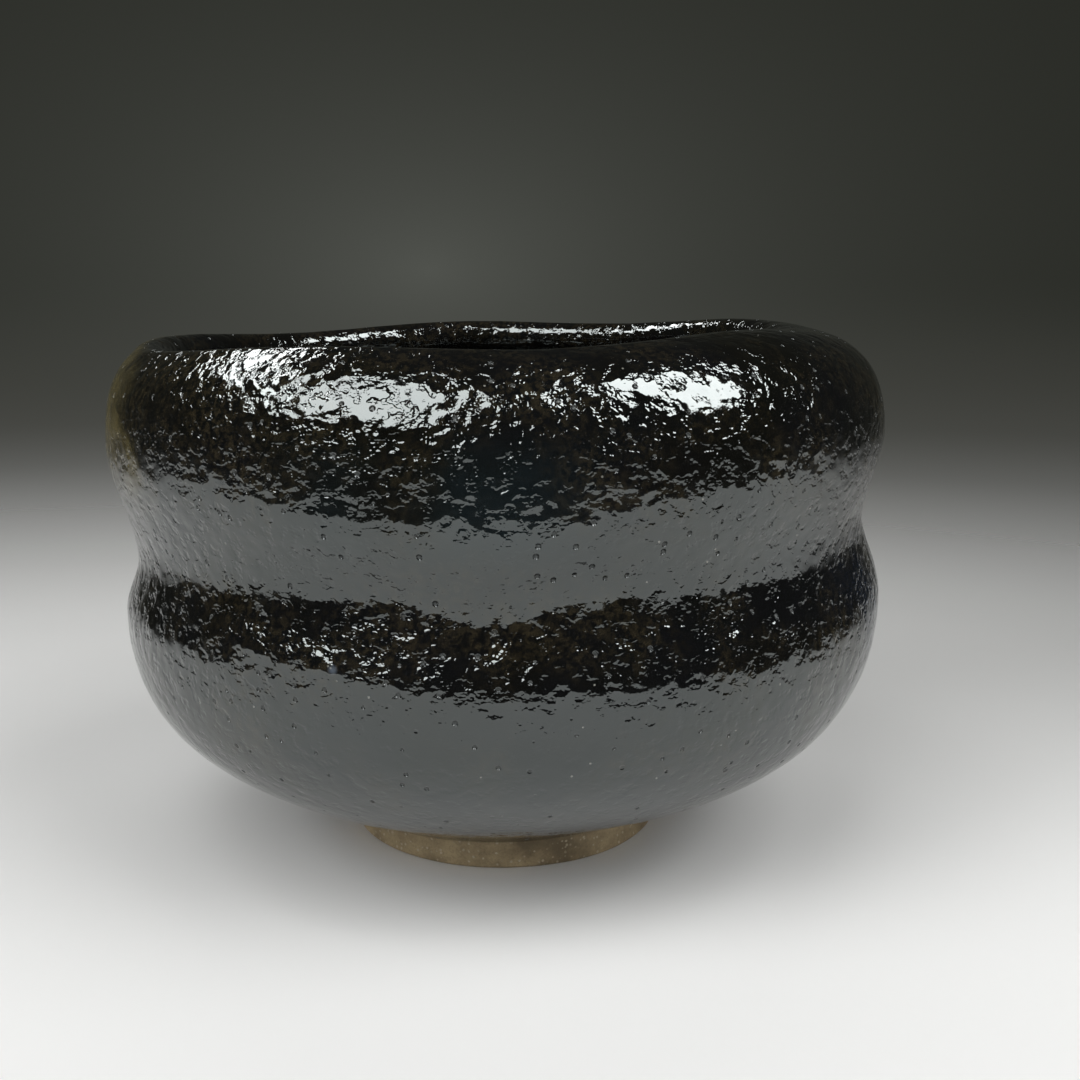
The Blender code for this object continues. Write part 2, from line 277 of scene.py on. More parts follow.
class BowlLine:
    """The clay's line at one angle, in fine steps, with the way out of its surface at every row."""

    UNDERSIDE_STEPS, BELLY_STEPS, WAIST_STEPS, SHOULDER_STEPS, LIP_STEPS = 18, 44, 20, 36, 14

    def __init__(self, form, angle):
        self.form, self.angle = form, angle
        self.seat = half_plane(
            form.foot_radius + form.foot_shift + form.foot_flare + form.glaze_margin,
            form.foot_height + form.gap,
        )
        self.set_rings()
        self.outside = self.underside() + self.belly_curve()
        self.outside += self.waist_curves() + self.shoulder_curve()
        self.outwards = [self.outward_at(row) for row in range(len(self.outside))]

    def set_rings(self):
        f, a = self.form, self.angle
        rise = f.belly_rise * hump(a, f.belly_rise_angle, f.belly_rise_width)
        sag = f.belly_sag * hump(a, f.belly_sag_angle, f.belly_sag_width)
        radius = f.bowl_radius - f.belly_inset + f.belly_lean * toward(a, 0)
        self.belly = half_plane(radius, f.bowl_height - f.belly_drop + rise - sag)
        tilt = f.waist_tilt * toward(a, 0) ** f.waist_levelness
        dip = f.thumb_dip * hump(a, f.thumb_angle, f.thumb_width)
        radius = f.bowl_radius - f.waist_inset + f.waist_lean * toward(a, 0)
        self.waist = half_plane(radius, f.bowl_height - f.waist_drop + tilt - dip)
        tilt = f.shoulder_tilt * toward(a, 0)
        sag = f.shoulder_sag * hump(a, f.shoulder_sag_angle, f.shoulder_sag_width)
        self.shoulder = half_plane(f.bowl_radius, f.bowl_height - f.shoulder_drop + tilt - sag)
        radius = f.bowl_radius - f.lip_inset + f.mouth_lean * toward(a, f.mouth_lean_angle)
        tilt = f.mouth_tilt * toward(a, f.mouth_tilt_angle)
        hill = f.lip_hill_height * math.cos(f.lip_hills * (a - f.lip_hill_angle))
        self.lip = half_plane(radius, f.bowl_height + tilt + hill - f.lip_thickness / 2)
        slope = f.lip_slope + f.mouth_lean_slope * toward(a, f.mouth_lean_angle)
        self.up_wall = half_plane(-math.cos(slope), math.sin(slope))
        self.out_wall = half_plane(self.up_wall.y, -self.up_wall.x)

    def underside(self):
        """From the middle to the seat of the glaze's edge, in even steps."""
        f = self.form
        line = []
        for step in range(self.UNDERSIDE_STEPS + 1):
            radius = self.seat.x * step / self.UNDERSIDE_STEPS
            peak = f.boss_height * (1 - smooth(radius, 0, f.boss_radius))
            line.append(half_plane(radius, self.seat.y - peak))
        return line

    def belly_curve(self):
        f, slope = self.form, self.form.underside_slope
        span = (self.belly - self.seat).length
        up_slope = half_plane(math.cos(slope), math.sin(slope))
        leaving = self.seat + up_slope * span * f.underside_reach
        arriving = self.belly - half_plane(0, span * f.belly_reach)
        return bezier(self.seat, leaving, arriving, self.belly, self.BELLY_STEPS)

    def waist_curves(self):
        line = []
        for start, end in ((self.belly, self.waist), (self.waist, self.shoulder)):
            third = half_plane(0, (end.y - start.y) / 3)
            line += bezier(start, start + third, end - third, end, self.WAIST_STEPS)
        return line

    def shoulder_curve(self):
        f = self.form
        end = self.lip + self.out_wall * f.lip_thickness / 2
        span = (end - self.shoulder).length
        leaving = self.shoulder + half_plane(0, span * f.shoulder_reach)
        arriving = end - self.up_wall * span * f.brow_reach
        return bezier(self.shoulder, leaving, arriving, end, self.SHOULDER_STEPS)

    def outward_at(self, row):
        """Straight down under the floor, turning to the belly's own slope where that begins."""
        if row <= self.UNDERSIDE_STEPS:
            radius = self.outside[row].x
            turn = self.form.underside_slope * smooth(radius, self.form.pool_radius, self.seat.x)
            return half_plane(math.sin(turn), -math.cos(turn))
        if row == len(self.outside) - 1:
            return self.out_wall
        along = (self.outside[row + 1] - self.outside[row - 1]).normalized()
        return half_plane(along.y, -along.x)

    def thickness_at(self, row):
        """Floor, then wall, then a last stretch that thins to the lip."""
        f = self.form
        up_belly = min(1.0, max(0.0, (row - self.UNDERSIDE_STEPS) / self.BELLY_STEPS))
        below_lip = len(self.outside) - 1 - row
        up_shoulder = max(0.0, (self.SHOULDER_STEPS - below_lip) / self.SHOULDER_STEPS)
        body = f.floor + (f.wall - f.floor) * up_belly
        return body + (f.lip_thickness - body) * up_shoulder

    def inside_at(self, row):
        f, point = self.form, self.outside[row]
        if row == len(self.outside) - 1:
            return self.lip - self.out_wall * f.lip_thickness / 2
        inner = point - self.outwards[row] * self.thickness_at(row)
        if row <= self.UNDERSIDE_STEPS:
            hollow = f.pool_depth * max(0.0, 1 - (inner.x / f.pool_radius) ** 2)
            inner.y = self.seat.y + f.floor * -self.outwards[row].y - hollow
        return inner

    def stretch(self, first, last, every, distance):
        """The outside from one row to another, moved out by the distance."""
        rows = list(range(first, last, every)) + [last]
        return [self.outside[row] + self.outwards[row] * distance for row in rows]

    def over_lip(self, distance, steps):
        """Round the lip from just above the outside to just short of the inside."""
        reach = self.form.lip_thickness / 2 + distance
        line = []
        for step in range(1, steps):
            turn = math.pi * step / steps
            outward = self.out_wall * math.cos(turn) + self.up_wall * math.sin(turn)
            line.append(self.lip + outward * reach)
        return line

    def down_inside(self, every, distance):
        """From the lip down the inside to the middle of the floor, moved into the bowl."""
        rows = list(range(len(self.outside) - 1, self.UNDERSIDE_STEPS, -every))
        rows += list(range(self.UNDERSIDE_STEPS, -1, -1))
        line = []
        for row in rows:
            point = self.inside_at(row) - self.outwards[row] * distance
            line.append(half_plane(max(0.0, point.x), point.y))
        line[-1].x = 0.0
        return line


def around(point, angle):
    """The point of the half-plane at that angle, in the round."""
    return Vector((point.x * math.cos(angle), point.x * math.sin(angle), point.y))


# Rows between the points of a line where it is coarser, and the coarser lip's steps.
OUTSIDE_EVERY, SHOWN_INSIDE_EVERY, INSIDE_EVERY, COARSE_LIP_STEPS = 4, 3, 8, 6

# The waves are this many times as wide as they are tall, and the shorter ones start elsewhere.
WAVE_WIDTH = 1.5
SWELL_START = Vector((7, 3, 1))

# Degrees round the bead at the glaze's lower edge.
BEAD_TURNS = (150, 120, 90, 60, 30)

# The relief fades out over the rows next to the bead and over the middle of the floor.
BEAD_FADE_ROWS = 4
MIDDLE_FADE_RADIUS = 6 * MM


def relief(place, finish):
    """How far the glaze stands below its full thickness here: soft waves, and the thumb's ridge."""
    stretched = Vector((place.x, place.y, place.z * WAVE_WIDTH))
    wave = 0.5 - 0.5 * noise.noise(stretched / finish.hand_wave_size)
    shorter = 0.5 - 0.5 * noise.noise(stretched / finish.swell_size + SWELL_START)
    angle = math.atan2(place.y, place.x)
    along = math.remainder(angle - finish.ridge_angle, math.tau) / finish.ridge_reach
    across = (place.z - finish.ridge_height + finish.ridge_fall * along) / finish.ridge_width
    ridge = math.exp(-(along**2) - across**2)
    return finish.hand_wave * wave + finish.swell * shorter + finish.ridge * (1 - ridge)


def smoothed_normals(line):
    """The way out of the line at every point, to its right."""
    found = []
    for row in range(len(line)):
        along = (line[min(row + 1, len(line) - 1)] - line[max(row - 1, 0)]).normalized()
        found.append(half_plane(along.y, -along.x))
    return found


def glaze_line(form, finish, angle):
    """Along the clay from the middle inside, over the lip and down to the foot, and back.

    The way back is the surface that shows. Between the two lies the bead at the glaze's lower edge.
    """
    bowl = BowlLine(form, angle)
    first, last = bowl.UNDERSIDE_STEPS, len(bowl.outside) - 1
    out = form.gap + form.glaze
    surface = bowl.stretch(first, last, 1, out) + bowl.over_lip(out, bowl.LIP_STEPS)
    surface += bowl.down_inside(SHOWN_INSIDE_EVERY, out)
    outwards = smoothed_normals(surface)
    shown = []
    for row, point in enumerate(surface):
        depth = relief(around(point, angle), finish)
        depth *= smooth(row, 0, BEAD_FADE_ROWS) * smooth(point.x, 0, MIDDLE_FADE_RADIUS)
        shown.append(point - outwards[row] * depth)
    outward = bowl.outwards[first]
    middle = bowl.outside[first] + outward * (form.gap + form.glaze / 2)
    back = half_plane(outward.y, -outward.x)
    bead = []
    for turn in BEAD_TURNS:
        t = math.radians(turn)
        bead.append(middle + (back * math.sin(t) - outward * math.cos(t)) * form.glaze / 2)
    hidden = bowl.stretch(first, last, OUTSIDE_EVERY, form.gap)
    hidden += bowl.over_lip(form.gap, COARSE_LIP_STEPS) + bowl.down_inside(INSIDE_EVERY, form.gap)
    return hidden[::-1] + bead[::-1] + shown


CLAY_UNDERSIDE_STEPS = 40

# The spiral that the trimming tool left under the bowl, and the radii where it fades in and out.
SPIRAL_DEPTH, SPIRAL_PITCH = 0.12 * MM, 2.4 * MM
SPIRAL_START = (0, 3 * MM)
SPIRAL_END = (20 * MM, 24 * MM)


def clay_line(form, angle):
    """All round the clay: underside, outside, lip, inside and floor."""
    bowl = BowlLine(form, angle)
    first, last = bowl.UNDERSIDE_STEPS, len(bowl.outside) - 1
    line = []
    for step in range(CLAY_UNDERSIDE_STEPS + 1):
        radius = bowl.seat.x * step / CLAY_UNDERSIDE_STEPS
        peak = form.boss_height * (1 - smooth(radius, 0, form.boss_radius))
        spiral = SPIRAL_DEPTH * math.cos(math.tau * radius / SPIRAL_PITCH - angle)
        spiral *= smooth(radius, *SPIRAL_START)
        spiral *= 1 - smooth(radius, *SPIRAL_END)
        line.append(half_plane(radius, bowl.seat.y - peak + spiral))
    line += bowl.stretch(first, last, OUTSIDE_EVERY, 0)[1:]
    return line + bowl.over_lip(0, COARSE_LIP_STEPS) + bowl.down_inside(INSIDE_EVERY, 0)


# Steps along each side of the foot ring's outline.
EDGE_STEPS, FACE_STEPS, SIDE_STEPS, TOP_STEPS, RECESS_STEPS = 6, 8, 16, 6, 10

# The foot ring's clay is rough, finely and broadly, and the tool left grooves that wander.
FINE_ROUGH, FINE_ROUGH_SIZE = 0.10 * MM, 2.6 * MM
BROAD_ROUGH, BROAD_ROUGH_SIZE = 0.22 * MM, 9 * MM
GROOVE_DEPTH, GROOVE_PITCH = 0.07 * MM, 1.3 * MM
GROOVE_WANDER, GROOVE_WANDER_SIZE = 2, 14 * MM

# All of that is weaker at the table and at the top, and full between.
LEAST_ROUGH = 0.35
ROUGH_FROM_TABLE, ROUGH_FROM_TOP = 1.2 * MM, 0.6 * MM


def rounded_edge(middle, edge, start):
    """A quarter turn round one lower edge, from the start in degrees."""
    line = []
    for step in range(EDGE_STEPS + 1):
        t = math.radians(start + 90 * step / EDGE_STEPS)
        line.append(half_plane(middle + edge * math.cos(t), edge + edge * math.sin(t)))
    return line


def roughened(point, angle, form, middle):
    """A point of the foot ring's outline, moved in or out as its clay and its grooves ask."""
    place = around(point, angle)
    rough = noise.noise(place / FINE_ROUGH_SIZE) * FINE_ROUGH
    rough += noise.noise(place / BROAD_ROUGH_SIZE) * BROAD_ROUGH
    wander = GROOVE_WANDER * noise.noise(place / GROOVE_WANDER_SIZE)
    groove = GROOVE_DEPTH * math.sin(math.tau * point.y / GROOVE_PITCH + wander)
    side = 1 if point.x > middle else -1
    top = form.foot_height
    full = smooth(point.y, 0, ROUGH_FROM_TABLE) * (1 - smooth(point.y, top - ROUGH_FROM_TOP, top))
    out = side * (rough + groove) * (LEAST_ROUGH + (1 - LEAST_ROUGH) * full)
    return half_plane(point.x + out, point.y)


def foot_line(form, angle):
    """Round the foot ring from its inner lower edge, with rounded edges and a trimmed face."""
    outer = form.foot_radius + form.foot_shift * math.cos(angle)
    inner = outer - form.foot_width
    edge, flare, top = form.foot_edge, form.foot_flare, form.foot_height
    face, across, rise = form.foot_width - 2 * edge, form.foot_width + 2 * flare, top - edge
    line = rounded_edge(inner + edge, edge, 180)
    for step in range(1, FACE_STEPS):
        line.append(half_plane(inner + edge + face * step / FACE_STEPS, 0))
    line += rounded_edge(outer - edge, edge, 270)
    for step in range(1, SIDE_STEPS + 1):
        s = step / SIDE_STEPS
        line.append(half_plane(outer + flare * s, edge + rise * s))
    for step in range(1, TOP_STEPS):
        line.append(half_plane(outer + flare - across * step / TOP_STEPS, top))
    for step in range(RECESS_STEPS):
        s = 1 - step / RECESS_STEPS
        line.append(half_plane(inner - flare * s, edge + rise * s))
    return [roughened(point, angle, form, inner + form.foot_width / 2) for point in line]


# ---------------------------------------------------------------- meshes


def turned(name, line_at, closed, sides, material):
    """Wraps a flat grid round the axis: across it lie the line's rows, and along it the sides."""
    axis = bowl_axis()
    lines = [line_at(side * math.tau / sides) for side in range(sides)]
    if closed:
        lines = [line + line[:1] for line in lines]
    rows = len(lines[0]) - 1
    bm = bmesh.new()
    bmesh.ops.create_grid(bm, x_segments=rows, y_segments=sides, size=0.5)
    seam = []
    for corner in bm.verts:
        row, side = round((corner.co.x + 0.5) * rows), round((corner.co.y + 0.5) * sides)
        corner.co = around(lines[side % sides][row], side * math.tau / sides) + axis
        if side % sides == 0 or row in (0, rows):
            seam.append(corner)
    bmesh.ops.remove_doubles(bm, verts=seam, dist=WELD)
    bmesh.ops.recalc_face_normals(bm, faces=bm.faces)
    mesh = bpy.data.meshes.new(name)
    bm.to_mesh(mesh)
    bm.free()
    mesh.shade_smooth()
    mesh.materials.append(material)
    piece = bpy.data.objects.new(name, mesh)
    bpy.context.scene.collection.objects.link(piece)
    return piece


def bowl_axis():
    """The bowl's own axis, which the foot ring sits a little off."""
    form = bpy.context.scene.tea_bowl_form
    middle = (FOOT_BOX[0] + FOOT_BOX[1]) / 2
    return Vector((middle.x - form.foot_shift, middle.y, FOOT_BOX[0].z))


# ---------------------------------------------------------------- materials


class Bench:
    """Lays nodes into one material's tree, each fed by numbers or by other nodes' sockets."""

    def __init__(self, name):
        self.material = bpy.data.materials.new(name)
        self.material.use_nodes = True
        self.tree = self.material.node_tree
        self.shader = self.tree.nodes["Principled BSDF"]
        self.place = self.add("ShaderNodeTexCoord").outputs["Object"]

    @classmethod
    def for_world(cls, world):
        bench = cls.__new__(cls)
        bench.tree = world.node_tree
        bench.shader = bench.tree.nodes["Background"]
        bench.place = bench.add("ShaderNodeTexCoord").outputs["Generated"]
        return bench

    def feed(self, socket, value):
        if isinstance(value, bpy.types.NodeSocket):
            self.tree.links.new(value, socket)
        elif socket.type == "RGBA":
            socket.default_value = (*value, 1)
        else:
            socket.default_value = value

    def add(self, kind, settings=(), **inputs):
        node = self.tree.nodes.new(kind)
        for key, value in dict(settings).items():
            setattr(node, key, value)
        for key, value in inputs.items():
            self.feed(node.inputs[key.replace("_", " ")], value)
        return node

    def moved(self, scale=(1, 1, 1), shift=(0, 0, 0)):
        node = self.add("ShaderNodeMapping", Vector=self.place, Scale=scale, Location=shift)
        return node.outputs["Vector"]

    def noise(self, size, detail=2.0, roughness=0.5, distortion=0.0, vector=None):
        node = self.add(
            "ShaderNodeTexNoise",
            Vector=vector or self.place,
            Scale=1 / size,
            Detail=detail,
            Roughness=roughness,
            Distortion=distortion,
        )
        return node.outputs["Fac"]

    def spots(self, size, channel, chosen, growth):
        """A round spot in each cell whose random number, one of three, lies in the chosen range."""
        cell = self.add("ShaderNodeTexVoronoi", Vector=self.place, Scale=1 / size)
        picked = self.range(self.parts(cell.outputs["Color"])[channel], *chosen)
        return self.times(self.range(cell.outputs["Distance"], *growth), picked)

    def maths(self, operation, a, b=0.0):
        node = self.tree.nodes.new("ShaderNodeMath")
        node.operation = operation
        self.feed(node.inputs[0], a)
        self.feed(node.inputs[1], b)
        return node.outputs[0]

    def plus(self, a, b):
        return self.maths("ADD", a, b)

    def times(self, first, *others):
        product = first
        for other in others:
            product = self.maths("MULTIPLY", product, other)
        return product

    def range(self, value, low, high, to_low=0.0, to_high=1.0, soft=True):
        node = self.add(
            "ShaderNodeMapRange",
            {"interpolation_type": "SMOOTHSTEP" if soft else "LINEAR"},
            Value=value,
        )
        ends = {"From Min": low, "From Max": high, "To Min": to_low, "To Max": to_high}
        for key, end in ends.items():
            node.inputs[key].default_value = end
        return node.outputs["Result"]

    def mixed(self, share_of, a, b):
        node = self.tree.nodes.new("ShaderNodeMix")
        node.data_type = "RGBA"
        self.feed(node.inputs[0], share_of)
        self.feed(node.inputs[6], a)
        self.feed(node.inputs[7], b)
        return node.outputs[2]

    def parts(self, vector):
        return self.add("ShaderNodeSeparateXYZ", Vector=vector).outputs

    def bump(self, height, distance, under=None):
        node = self.add("ShaderNodeBump", Height=height, Distance=distance, Strength=1.0)
        if under is not None:
            self.feed(node.inputs["Normal"], under)
        return node.outputs["Normal"]


# Each pair of numbers from here on is where something starts to show and where it is full.

# Brown shows where both the clouds and the grains are thin.
CLOUD_SIZE, BROWN_GRAIN_SIZE = 14 * MM, 0.9 * MM
BROWN_CLOUDS, BROWN_GRAINS = (0.40, 0.66), (0.42, 0.62)

# Teal lies on the front of the shoulder, a little left of its middle, and only in part elsewhere.
POOL_SIZE, POOL_SHIFT = 22 * MM, (0.4, 0.1, 0.2)
TEAL_LEFT, TEAL_SIDEWAYS, TEAL_FORWARD = 8 * MM, (24 * MM, 8 * MM), (-20 * MM, -40 * MM)
TEAL_FROM_TOP, TEAL_FROM_WAIST = (71 * MM, 64 * MM), (52 * MM, 57 * MM)
TEAL_POOLS, TEAL_LEAST, TEAL_MOST = (0.34, 0.56), 0.1, 0.8

# Blue lies on the right side below the shoulder, and faintly all over.
BLUE_POOLS, BLUE_ALL_OVER = (0.40, 0.58), 0.15
BLUE_SIDEWAYS, BLUE_FROM_TOP = (40 * MM, 58 * MM), (66 * MM, 58 * MM)

# A painted olive reflection lies outside on the left shoulder, with an edge as ragged as the
# clouds.
OLIVE_RADIUS, OLIVE_RAGGED = (52.5 * MM, 54.5 * MM), 36 * MM
OLIVE_SIDEWAYS, OLIVE_FROM_WAIST = (-46 * MM, -58 * MM), (53 * MM, 63 * MM)
OLIVE_CLOUDS = (0.2, 0.45)

# Spots: which of a cell's random numbers chooses it, the range that does, and the spot's own edge.
PIN_HOLES = (0, (0.45, 0.50), (0.19, 0.08))
BUBBLES = (1, (0.72, 0.76), (0.09, 0.02))
DUST = (2, (0.86, 0.88), (0.11, 0.06))
SAND = (0, (0.62, 0.70), (0.42, 0.18))
BUBBLE_SIZE, BUBBLE_SHARE = 11 * MM, 0.5
DUST_SIZE, DUST_SHARE = 1.7 * MM, 0.55

# The glaze's skin is level but for its dents, and the belly was wiped smoother.
PEEL_WIDTH = 1.15
DENTED = (0.22, 0.49)
WIPED_HEIGHTS, WIPED_LEAST, WIPED_MOST = (20 * MM, 42 * MM), 0.35, 1.0

# Smears make the glaze a little smoother here and rougher there, and a pin hole is dull.
SMEAR_SIZE, SMEARED = 6 * MM, (0.3, 0.7)
SMOOTHER, ROUGHER, HOLE_ROUGHNESS = 0.7, 1.5, 0.5

# Smoke in the clay, broad and fine.
SMOKE_SIZE, SMOKED = 9 * MM, (0.35, 0.7)
FINE_SIZE, FINE_SMOKED, FINE_LEAST, FINE_MOST = 0.35 * MM, (0.45, 0.75), 0.0, 0.55
SAND_HEIGHT = 0.06 * MM


def glaze_colour(bench, finish):
    """Black, browner in cloudy patches, cool where it pooled, with a painted olive reflection on
    the outside of the left shoulder.
    """
    x, y, z = bench.parts(bench.place)[:3]
    clouds = bench.noise(CLOUD_SIZE, detail=4, roughness=0.6, distortion=0.4)
    grains = bench.noise(BROWN_GRAIN_SIZE, detail=3, roughness=0.7)
    brown = bench.times(bench.range(clouds, *BROWN_CLOUDS), bench.range(grains, *BROWN_GRAINS))
    skin = bench.mixed(brown, finish.glaze_black, finish.glaze_brown)

    pools = bench.noise(POOL_SIZE, detail=3, vector=bench.moved(shift=POOL_SHIFT))
    off_middle = bench.maths("ABSOLUTE", bench.plus(x, TEAL_LEFT))
    at_front = bench.times(bench.range(off_middle, *TEAL_SIDEWAYS), bench.range(y, *TEAL_FORWARD))
    at_shoulder = bench.times(bench.range(z, *TEAL_FROM_TOP), bench.range(z, *TEAL_FROM_WAIST))
    teal_pools = bench.range(pools, *TEAL_POOLS, TEAL_LEAST, TEAL_MOST)
    skin = bench.mixed(bench.times(at_front, at_shoulder, teal_pools), skin, finish.glaze_teal)

    at_right = bench.times(bench.range(x, *BLUE_SIDEWAYS), bench.range(z, *BLUE_FROM_TOP))
    blue = bench.times(bench.range(pools, *BLUE_POOLS), bench.plus(at_right, BLUE_ALL_OVER))
    skin = bench.mixed(bench.maths("MINIMUM", blue, 1.0), skin, finish.glaze_blue)

    # The olive below is a painted reflection on the outside of the left shoulder.
    radius = bench.maths("SQRT", bench.plus(bench.times(x, x), bench.times(y, y)))
    ragged = bench.plus(x, bench.times(bench.maths("SUBTRACT", clouds, 0.5), OLIVE_RAGGED))
    olive_reflection_share = bench.times(
        bench.range(ragged, *OLIVE_SIDEWAYS),
        bench.range(z, *OLIVE_FROM_WAIST),
        bench.range(radius, *OLIVE_RADIUS),
        bench.range(clouds, *OLIVE_CLOUDS),
    )
    return bench.mixed(olive_reflection_share, skin, finish.painted_olive_reflection)


def glaze_relief(bench, finish, hole):
    """Fine peel, soft dimples, an orange peel of level skin with dents in it, and the pin holes."""
    z = bench.parts(bench.place)[2]
    stretched = bench.moved(scale=(1, 1, PEEL_WIDTH))
    peel = bench.noise(finish.peel_size, detail=2, vector=stretched)
    dimples = bench.noise(finish.dimple_size, detail=1, vector=stretched)
    skin = bench.noise(finish.dent_size, detail=2.5, roughness=0.55, vector=stretched)
    dents = bench.range(skin, *DENTED, soft=False)
    coarse = bench.range(z, *WIPED_HEIGHTS, WIPED_LEAST, WIPED_MOST)
    dimples = bench.times(bench.maths("SUBTRACT", dimples, 0.5), coarse)
    dents = bench.times(bench.maths("SUBTRACT", dents, 1.0), coarse)
    normal = bench.bump(peel, finish.peel)
    normal = bench.bump(dimples, finish.dimple, normal)
    normal = bench.bump(dents, finish.dent, normal)
    return bench.bump(bench.maths("SUBTRACT", 1.0, hole), finish.pit, normal)


def glaze_material(finish):
    bench = Bench("Black glaze")
    hole = bench.spots(finish.pit_size, *PIN_HOLES)
    bubble = bench.spots(BUBBLE_SIZE, *BUBBLES)
    dust = bench.spots(DUST_SIZE, *DUST)
    skin = glaze_colour(bench, finish)
    skin = bench.mixed(bench.times(bubble, BUBBLE_SHARE), skin, finish.bubble_colour)
    skin = bench.mixed(bench.times(dust, DUST_SHARE), skin, finish.dust_colour)
    bench.feed(bench.shader.inputs["Base Color"], skin)
    bench.feed(bench.shader.inputs["Normal"], glaze_relief(bench, finish, hole))
    smoother, rougher = finish.glaze_roughness * SMOOTHER, finish.glaze_roughness * ROUGHER
    rough = bench.range(bench.noise(SMEAR_SIZE, detail=3), *SMEARED, smoother, rougher)
    rough = bench.maths("MAXIMUM", rough, bench.times(hole, HOLE_ROUGHNESS))
    bench.feed(bench.shader.inputs["Roughness"], rough)
    bench.shader.inputs["IOR"].default_value = finish.glaze_ior
    bench.shader.inputs["Specular Tint"].default_value = (*finish.glaze_sheen, 1)
    return bench.material


def clay_material(finish, name, sand_share):
    bench = Bench(name)
    smoke = bench.noise(SMOKE_SIZE, detail=5, roughness=0.65)
    body = bench.mixed(bench.range(smoke, *SMOKED), finish.clay_colour, finish.clay_dark)
    sand = bench.spots(finish.grain_size, *SAND)
    body = bench.mixed(bench.times(sand, sand_share), body, finish.clay_speck)
    fine = bench.noise(FINE_SIZE, detail=4, roughness=0.7)
    fine_smoke = bench.range(fine, *FINE_SMOKED, FINE_LEAST, FINE_MOST)
    bench.feed(bench.shader.inputs["Base Color"], bench.mixed(fine_smoke, body, finish.clay_dark))
    normal = bench.bump(fine, finish.grain)
    bench.feed(bench.shader.inputs["Normal"], bench.bump(sand, SAND_HEIGHT, normal))
    bench.shader.inputs["Roughness"].default_value = finish.clay_roughness
    return bench.material


# Behind the bowl, how much of the pale table shows at each distance, in metres: a painted fall of
# the light over the table.
TABLE_STOPS = (
    (0.0, 1.0),
    (0.06, 0.98),
    (0.12, 0.78),
    (0.2, 0.52),
    (0.3, 0.27),
    (0.42, 0.09),
    (0.6, 0.01),
    (1.0, 0.0),
)

# The pale patch behind is a painted pool of light: it lies to the left and is wider than it is
# deep. Its stops take over from the sheet's sharper front between these places along Y.
PATCH_LEFT, PATCH_NARROWER = 0.08, 0.8
STOPS_TAKE_OVER = (-0.06, 0.10)
EDGE_INSET = 0.96
TABLE_ROUGHNESS, TABLE_SPECULAR = 0.9, 0.1


def floor_material(stage):
    """A pale sheet that ends in front of the bowl, and melts into the dark room behind it: a
    painted fall of light, palest near the bowl and to its left.
    """
    bench = Bench("Table")
    x, y = bench.parts(bench.place)[:2]
    along = bench.times(y, y)
    radius = bench.maths("SQRT", bench.plus(along, bench.times(x, x)))
    sideways = bench.times(bench.plus(x, PATCH_LEFT), PATCH_NARROWER)
    away = bench.maths("SQRT", bench.plus(along, bench.times(sideways, sideways)))
    front = bench.range(radius, stage.front_edge, stage.front_edge * EDGE_INSET)
    ramp = bench.tree.nodes.new("ShaderNodeValToRGB")
    ramp.color_ramp.interpolation = "B_SPLINE"
    ramp.color_ramp.elements[0].position = TABLE_STOPS[0][0]
    ramp.color_ramp.elements[1].position = TABLE_STOPS[-1][0]
    for at, _ in TABLE_STOPS[1:-1]:
        ramp.color_ramp.elements.new(at)
    for stop, (_, shown) in zip(ramp.color_ramp.elements, TABLE_STOPS):
        stop.color = (shown, shown, shown, 1)
    bench.feed(ramp.inputs[0], away)
    sheet = bench.mixed(bench.range(y, *STOPS_TAKE_OVER), front, ramp.outputs["Color"])
    bench.feed(bench.shader.inputs["Alpha"], sheet)
    bench.feed(bench.shader.inputs["Base Color"], stage.floor_colour)
    bench.shader.inputs["Roughness"].default_value = TABLE_ROUGHNESS
    bench.shader.inputs["Specular IOR Level"].default_value = TABLE_SPECULAR
    return bench.material


# ---------------------------------------------------------------- operators

# Sides round the axis, and how plainly the sand shows in the bare clay and in the foot.
GLAZE_SIDES, CLAY_SIDES, FOOT_SIDES = 400, 240, 360
CLAY_SAND, FOOT_SAND = 0.6, 0.8

# Soft fills: name, azimuth and elevation in degrees, and height in metres.
FILLS = (
    ("Left fill", -62, 28, 0.8),
    ("Right fill", 52, 28, 1.0),
    ("Upper left fill", -38, 51, 1.15),
    ("Upper right fill", 64, 52, 0.75),
    ("Back fill", 180, 62, 0.25),
)
FILL_DISTANCE, FILL_WIDTH = 1.3, 0.9

# The lights face a place on the axis at this height.
AIM_HEIGHT = 50 * MM

TABLE_RADIUS, TABLE_SIDES = 2.5, 96
SENSOR_WIDTH = 36

# The room's glow lies to the left of the middle, low, and is wider than it is tall.
GLOW_LEFT, GLOW_FLATTER, GLOW_BASE = 0.05, 0.6, 2.718
GLOW_BEHIND = (0.0, 0.5)
BELOW_HORIZON, BELOW_SHARE = (0.0, -0.11), 0.5


class TEABOWL_OT_glaze(Operator):
    """Makes the coat of black glaze, inside and out"""

    bl_idname = "teabowl.glaze"
    bl_label = "Glaze"

    def execute(self, context):
        form, finish = context.scene.tea_bowl_form, context.scene.tea_bowl_finish
        material = glaze_material(finish)
        piece = turned("glaze", lambda a: glaze_line(form, finish, a), False, GLAZE_SIDES, material)
        bpy.ops.teabowl.check_piece(piece=piece.name)
        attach(piece, "root")
        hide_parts("glaze_outside", "glaze_inside")
        return {"FINISHED"}


class TEABOWL_OT_clay(Operator):
    """Makes the clay body, bare inside the foot ring, with the trimming spiral"""

    bl_idname = "teabowl.clay"
    bl_label = "Clay Body"

    def execute(self, context):
        form, finish = context.scene.tea_bowl_form, context.scene.tea_bowl_finish
        material = clay_material(finish, "Bare clay", CLAY_SAND)
        piece = turned("clay", lambda a: clay_line(form, a), False, CLAY_SIDES, material)
        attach(piece, "root")
        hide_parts("clay_body")
        return {"FINISHED"}


